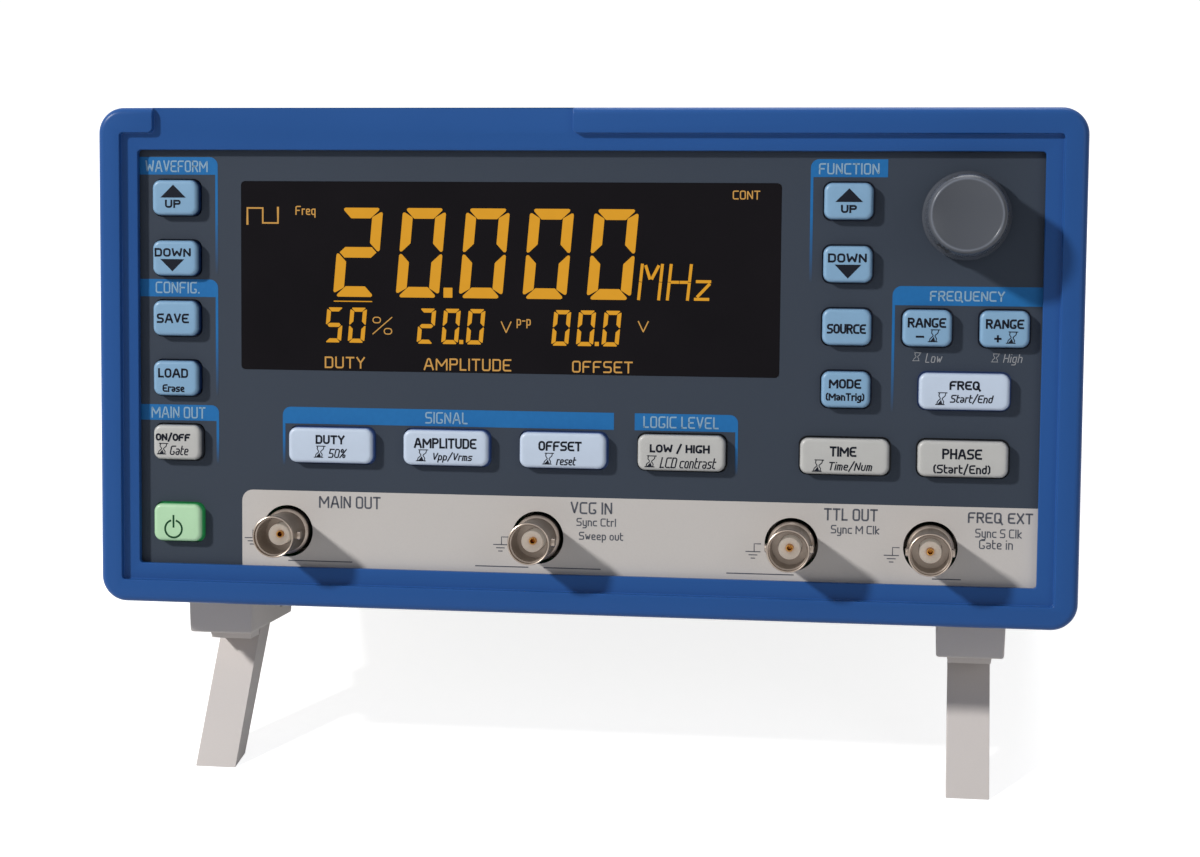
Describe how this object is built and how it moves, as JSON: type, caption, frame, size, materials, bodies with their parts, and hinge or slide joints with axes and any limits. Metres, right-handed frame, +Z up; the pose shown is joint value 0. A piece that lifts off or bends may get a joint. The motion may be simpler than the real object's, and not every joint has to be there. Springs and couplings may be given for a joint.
{
  "type": "function generator",
  "caption": "Bench function generator with a display, a keypad, a knob and bayonet sockets on its front, standing tilted on unfolded front legs.",
  "frame": {"origin": "on the bench top, under the centre of the bounding box, with the front legs unfolded", "axes": "+X to the right along the front, +Y from the front panel to the rear, +Z up; the instrument is tipped back by 12.26 degrees about X"},
  "size_m": [0.227, 0.2062, 0.1574],
  "materials": {
    "bezel": "blue moulded plastic, fine satin grain",
    "panel": "slate-grey printed film",
    "window": "smoked clear plastic, glossy",
    "display_can": "plain",
    "key_blue": "pale blue translucent silicone, satin",
    "key_lit": "pale blue-white translucent silicone, lit from behind",
    "key_beige": "grey-beige translucent silicone, satin",
    "key_green": "green translucent silicone, lit from behind",
    "knob": "dark grey plastic, satin",
    "steel": "plated",
    "nickel": "nickel plate",
    "dielectric": "white, slightly translucent",
    "gold": "gold plate",
    "case": "light grey moulded plastic, fine texture",
    "rear": "grey moulded plastic, fine texture",
    "feet": "light grey moulded plastic, satin",
    "inlet": "black thermoplastic",
    "drawer": "black thermoplastic, satin",
    "encoder": "black",
    "board": "green solder mask",
    "core": "varnished laminations",
    "heatsink": "bare extrusion"
  },
  "bodies": {
    "instrument": {"bnc_contact_1": "gold", "bnc_contact_2": "gold", "bnc_contact_3": "gold", "bnc_contact_4": "gold", "bnc_insulator_1": "dielectric", "bnc_insulator_2": "dielectric", "bnc_insulator_3": "dielectric", "bnc_insulator_4": "dielectric", "bnc_shell_1": "nickel", "bnc_shell_2": "nickel", "bnc_shell_3": "nickel", "bnc_shell_4": "nickel", "bottom_case": "case", "case_screw_1": "steel", "case_screw_2": "steel", "case_screw_3": "steel", "case_screw_4": "steel", "display_window": "window", "encoder_body": "encoder", "foot_housing_left": "feet", "foot_housing_right": "feet", "front_bezel": "bezel", "front_panel": "panel", "keypad_board": "board", "lcd_module": "display_can", "leg_pin_left": "steel", "leg_pin_right": "steel", "main_board": "board", "mains_inlet": "inlet", "mains_transformer": "core", "output_heatsink": "heatsink", "rear_foot_left": "feet", "rear_foot_right": "feet", "rear_panel": "rear", "top_cover": "case"},
    "key_wave_up": {"key_wave_up": "key_blue"},
    "key_wave_down": {"key_wave_down": "key_blue"},
    "key_save": {"key_save": "key_blue"},
    "key_load": {"key_load": "key_blue"},
    "key_function_up": {"key_function_up": "key_blue"},
    "key_function_down": {"key_function_down": "key_blue"},
    "key_source": {"key_source": "key_blue"},
    "key_mode": {"key_mode": "key_blue"},
    "key_range_down": {"key_range_down": "key_blue"},
    "key_range_up": {"key_range_up": "key_blue"},
    "key_frequency": {"key_frequency": "key_lit"},
    "key_duty": {"key_duty": "key_lit"},
    "key_amplitude": {"key_amplitude": "key_lit"},
    "key_offset": {"key_offset": "key_lit"},
    "key_logic_level": {"key_logic_level": "key_beige"},
    "key_time": {"key_time": "key_beige"},
    "key_phase": {"key_phase": "key_beige"},
    "key_output": {"key_output": "key_beige"},
    "key_power": {"key_power": "key_green"},
    "knob": {"knob": "knob", "encoder_shaft": "steel"},
    "leg_left": {"leg_left": "feet"},
    "leg_right": {"leg_right": "feet"},
    "fuse_drawer": {"fuse_drawer": "drawer"}
  },
  "joints": [
    {"name": "key_wave_up_press", "type": "slide", "parent": "instrument", "child": "key_wave_up", "axis": [0, 0.9772, -0.2123], "range_m": [0, 0.0008], "stiffness_N_per_m": 300, "springref_m": -0.0005},
    {"name": "key_wave_down_press", "type": "slide", "parent": "instrument", "child": "key_wave_down", "axis": [0, 0.9772, -0.2123], "range_m": [0, 0.0008], "stiffness_N_per_m": 300, "springref_m": -0.0005},
    {"name": "key_save_press", "type": "slide", "parent": "instrument", "child": "key_save", "axis": [0, 0.9772, -0.2123], "range_m": [0, 0.0008], "stiffness_N_per_m": 300, "springref_m": -0.0005},
    {"name": "key_load_press", "type": "slide", "parent": "instrument", "child": "key_load", "axis": [0, 0.9772, -0.2123], "range_m": [0, 0.0008], "stiffness_N_per_m": 300, "springref_m": -0.0005},
    {"name": "key_function_up_press", "type": "slide", "parent": "instrument", "child": "key_function_up", "axis": [0, 0.9772, -0.2123], "range_m": [0, 0.0008], "stiffness_N_per_m": 300, "springref_m": -0.0005},
    {"name": "key_function_down_press", "type": "slide", "parent": "instrument", "child": "key_function_down", "axis": [0, 0.9772, -0.2123], "range_m": [0, 0.0008], "stiffness_N_per_m": 300, "springref_m": -0.0005},
    {"name": "key_source_press", "type": "slide", "parent": "instrument", "child": "key_source", "axis": [0, 0.9772, -0.2123], "range_m": [0, 0.0008], "stiffness_N_per_m": 300, "springref_m": -0.0005},
    {"name": "key_mode_press", "type": "slide", "parent": "instrument", "child": "key_mode", "axis": [0, 0.9772, -0.2123], "range_m": [0, 0.0008], "stiffness_N_per_m": 300, "springref_m": -0.0005},
    {"name": "key_range_down_press", "type": "slide", "parent": "instrument", "child": "key_range_down", "axis": [0, 0.9772, -0.2123], "range_m": [0, 0.0008], "stiffness_N_per_m": 300, "springref_m": -0.0005},
    {"name": "key_range_up_press", "type": "slide", "parent": "instrument", "child": "key_range_up", "axis": [0, 0.9772, -0.2123], "range_m": [0, 0.0008], "stiffness_N_per_m": 300, "springref_m": -0.0005},
    {"name": "key_frequency_press", "type": "slide", "parent": "instrument", "child": "key_frequency", "axis": [0, 0.9772, -0.2123], "range_m": [0, 0.0008], "stiffness_N_per_m": 300, "springref_m": -0.0005},
    {"name": "key_duty_press", "type": "slide", "parent": "instrument", "child": "key_duty", "axis": [0, 0.9772, -0.2123], "range_m": [0, 0.0008], "stiffness_N_per_m": 300, "springref_m": -0.0005},
    {"name": "key_amplitude_press", "type": "slide", "parent": "instrument", "child": "key_amplitude", "axis": [0, 0.9772, -0.2123], "range_m": [0, 0.0008], "stiffness_N_per_m": 300, "springref_m": -0.0005},
    {"name": "key_offset_press", "type": "slide", "parent": "instrument", "child": "key_offset", "axis": [0, 0.9772, -0.2123], "range_m": [0, 0.0008], "stiffness_N_per_m": 300, "springref_m": -0.0005},
    {"name": "key_logic_level_press", "type": "slide", "parent": "instrument", "child": "key_logic_level", "axis": [0, 0.9772, -0.2123], "range_m": [0, 0.0008], "stiffness_N_per_m": 300, "springref_m": -0.0005},
    {"name": "key_time_press", "type": "slide", "parent": "instrument", "child": "key_time", "axis": [0, 0.9772, -0.2123], "range_m": [0, 0.0008], "stiffness_N_per_m": 300, "springref_m": -0.0005},
    {"name": "key_phase_press", "type": "slide", "parent": "instrument", "child": "key_phase", "axis": [0, 0.9772, -0.2123], "range_m": [0, 0.0008], "stiffness_N_per_m": 300, "springref_m": -0.0005},
    {"name": "key_output_press", "type": "slide", "parent": "instrument", "child": "key_output", "axis": [0, 0.9772, -0.2123], "range_m": [0, 0.0008], "stiffness_N_per_m": 300, "springref_m": -0.0005},
    {"name": "key_power_press", "type": "slide", "parent": "instrument", "child": "key_power", "axis": [0, 0.9772, -0.2123], "range_m": [0, 0.0008], "stiffness_N_per_m": 300, "springref_m": -0.0005},
    {"name": "knob_turn", "type": "hinge", "parent": "instrument", "child": "knob", "pos_m": [0.0873, -0.07431, 0.13375], "axis": [0, -0.9772, 0.2123], "continuous": true},
    {"name": "leg_left_fold", "type": "hinge", "parent": "instrument", "child": "leg_left", "pos_m": [-0.09033, -0.05504, 0.02979], "axis": [1, 0, 0], "range_deg": [0, 124.1]},
    {"name": "leg_right_fold", "type": "hinge", "parent": "instrument", "child": "leg_right", "pos_m": [0.09033, -0.05504, 0.02979], "axis": [1, 0, 0], "range_deg": [0, 124.1]},
    {"name": "fuse_drawer_slide", "type": "slide", "parent": "instrument", "child": "fuse_drawer", "axis": [0, 0.9772, -0.2123], "range_m": [0, 0.018]}
  ]
}
